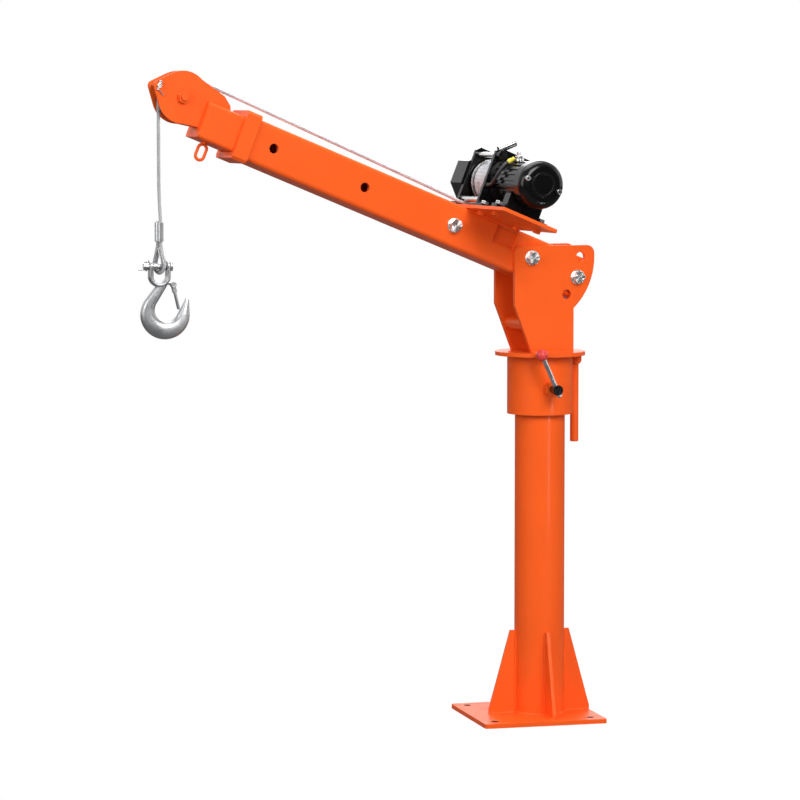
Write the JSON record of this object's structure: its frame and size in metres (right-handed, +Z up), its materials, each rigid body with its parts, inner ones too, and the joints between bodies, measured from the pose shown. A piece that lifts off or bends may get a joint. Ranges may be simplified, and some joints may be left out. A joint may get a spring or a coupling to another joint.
{
  "type": "pickup truck crane",
  "caption": "Orange truck-bed crane: bolted mast, slewing head, luffing telescopic boom, electric winch, rope over a tip sheave and a latched hook.",
  "frame": {"origin": "centre of the base plate's underside, which is the centre of its hole pattern", "axes": "+Z up the mast; the base plate's edges lie along X and Y; the boom points to -X, slewed 7.4 degrees"},
  "size_m": [0.8316, 0.3267, 1.1486],
  "materials": {
    "orange_paint": "powder coat",
    "bright_steel": "bright zinc plate",
    "bronze": "machined",
    "bare_steel": "turned",
    "red_ball": "gloss",
    "winch_black": "gloss",
    "lead_sleeve": "satin",
    "rope_steel": "stranded wire",
    "hook_steel": "zinc plated"
  },
  "bodies": {
    "base": {"base_plate": "orange_paint", "base_gussets": "orange_paint", "mast_tube": "orange_paint", "thrust_washer": "bronze"},
    "slew_head": {"slew_sleeve": "orange_paint", "slew_bush_lower": "bronze", "slew_bush_upper": "bronze", "head_flange": "orange_paint", "head_plate_near": "orange_paint", "head_plate_far": "orange_paint", "head_spacer": "orange_paint", "pivot_bolt": "bright_steel", "pivot_nut": "bright_steel", "luff_lock_bolt": "bright_steel", "clamp_boss": "orange_paint", "handle_hinge": "orange_paint"},
    "clamp": {"clamp_screw": "bright_steel", "clamp_lever": "bright_steel", "clamp_ball": "red_ball"},
    "handle": {"slew_handle": "orange_paint"},
    "boom": {"boom_tube": "orange_paint", "root_liner": "orange_paint", "pivot_bush": "bronze", "tail_bush": "bare_steel", "boom_collar": "orange_paint", "extension_lock_bolt": "bright_steel", "winch_plate": "orange_paint", "winch_frame_near": "winch_black", "winch_frame_far": "winch_black", "tie_bars": "bright_steel", "winch_bolts": "bright_steel", "motor_case": "winch_black", "motor_end_cap": "winch_black", "motor_cap_screws": "bright_steel", "motor_foot": "winch_black", "terminal_posts": "bright_steel", "motor_leads": "lead_sleeve", "gear_housing": "winch_black", "gear_cover": "winch_black", "rope_run": "rope_steel"},
    "drum": {"drum": "bare_steel", "rope_winding": "rope_steel"},
    "clutch": {"clutch_lever": "bright_steel"},
    "extension": {"extension_tube": "orange_paint", "extension_end_plate": "orange_paint", "sheave_cheek_near": "orange_paint", "sheave_cheek_far": "orange_paint", "sheave_bolt": "orange_paint", "sheave_nut": "bright_steel", "keeper_pin": "bright_steel", "stow_ring": "orange_paint", "rope_over_sheave": "rope_steel"},
    "sheave": {"sheave": "bare_steel"},
    "fall": {"rope_fall": "rope_steel"},
    "hook_block": {"rope_ferrule": "hook_steel", "rope_eye": "rope_steel", "thimble": "hook_steel"},
    "hook": {"hook": "hook_steel", "hook_pins": "bright_steel"},
    "latch": {"hook_latch": "hook_steel"}
  },
  "joints": [
    {"name": "slew", "type": "hinge", "parent": "base", "child": "slew_head", "pos_m": [0.02, 0, 0.642], "axis": [0, 0, 1], "continuous": true},
    {"name": "clamp_turn", "type": "hinge", "parent": "slew_head", "child": "clamp", "pos_m": [0.02228, -0.09347, 0.592], "axis": [0.0244, -0.9997, 0], "range_deg": [0, 270]},
    {"name": "handle_fold", "type": "hinge", "parent": "slew_head", "child": "handle", "pos_m": [0.08694, 0.00869, 0.638], "axis": [0.1288, -0.9917, 0], "range_deg": [0, 90]},
    {"name": "luff", "type": "hinge", "parent": "slew_head", "child": "boom", "pos_m": [-0.01768, -0.00489, 0.823], "axis": [-0.1288, 0.9917, 0], "range_deg": [-84, 22]},
    {"name": "extend", "type": "slide", "parent": "boom", "child": "extension", "axis": [-0.9195, -0.1194, 0.3746], "range_m": [0, 0.36]},
    {"name": "drum_spin", "type": "hinge", "parent": "boom", "child": "drum", "pos_m": [-0.0583, -0.01017, 0.95387], "axis": [0.1288, -0.9917, 0], "range_deg": [-954, 222]},
    {"name": "clutch_turn", "type": "hinge", "parent": "boom", "child": "clutch", "pos_m": [-0.07313, -0.0605, 1.00288], "axis": [0.1288, -0.9917, 0], "range_deg": [0, 90]},
    {"name": "sheave_spin", "type": "hinge", "parent": "extension", "child": "sheave", "pos_m": [-0.64644, -0.08656, 1.10365], "axis": [0.1288, -0.9917, 0], "range_deg": [-206, 882]},
    {"name": "rope_swing", "type": "hinge", "parent": "extension", "child": "fall", "pos_m": [-0.64644, -0.08656, 1.10365], "axis": [-0.1288, 0.9917, 0], "range_deg": [-23, 85]},
    {"name": "hoist", "type": "slide", "parent": "fall", "child": "hook_block", "axis": [0, 0, 1], "range_m": [-0.6, 0.14], "deforming": ["rope_fall"]},
    {"name": "hook_swing", "type": "hinge", "parent": "hook_block", "child": "hook", "pos_m": [-0.68511, -0.09158, 0.81765], "axis": [1, 0, 0], "range_deg": [-40, 40]},
    {"name": "latch_open", "type": "hinge", "parent": "hook", "child": "latch", "pos_m": [-0.66161, -0.09158, 0.78665], "axis": [0, 1, 0], "range_deg": [0, 35], "stiffness_Nm_per_rad": 0.05, "springref_deg": -22.92}
  ],
  "couplings": [
    {"joint": "sheave_spin", "follows": "drum_spin", "ratio": -0.92308},
    {"joint": "hoist", "follows": "drum_spin", "m_per_rad": 0.036},
    {"joint": "rope_swing", "follows": "luff", "ratio": -1}
  ]
}
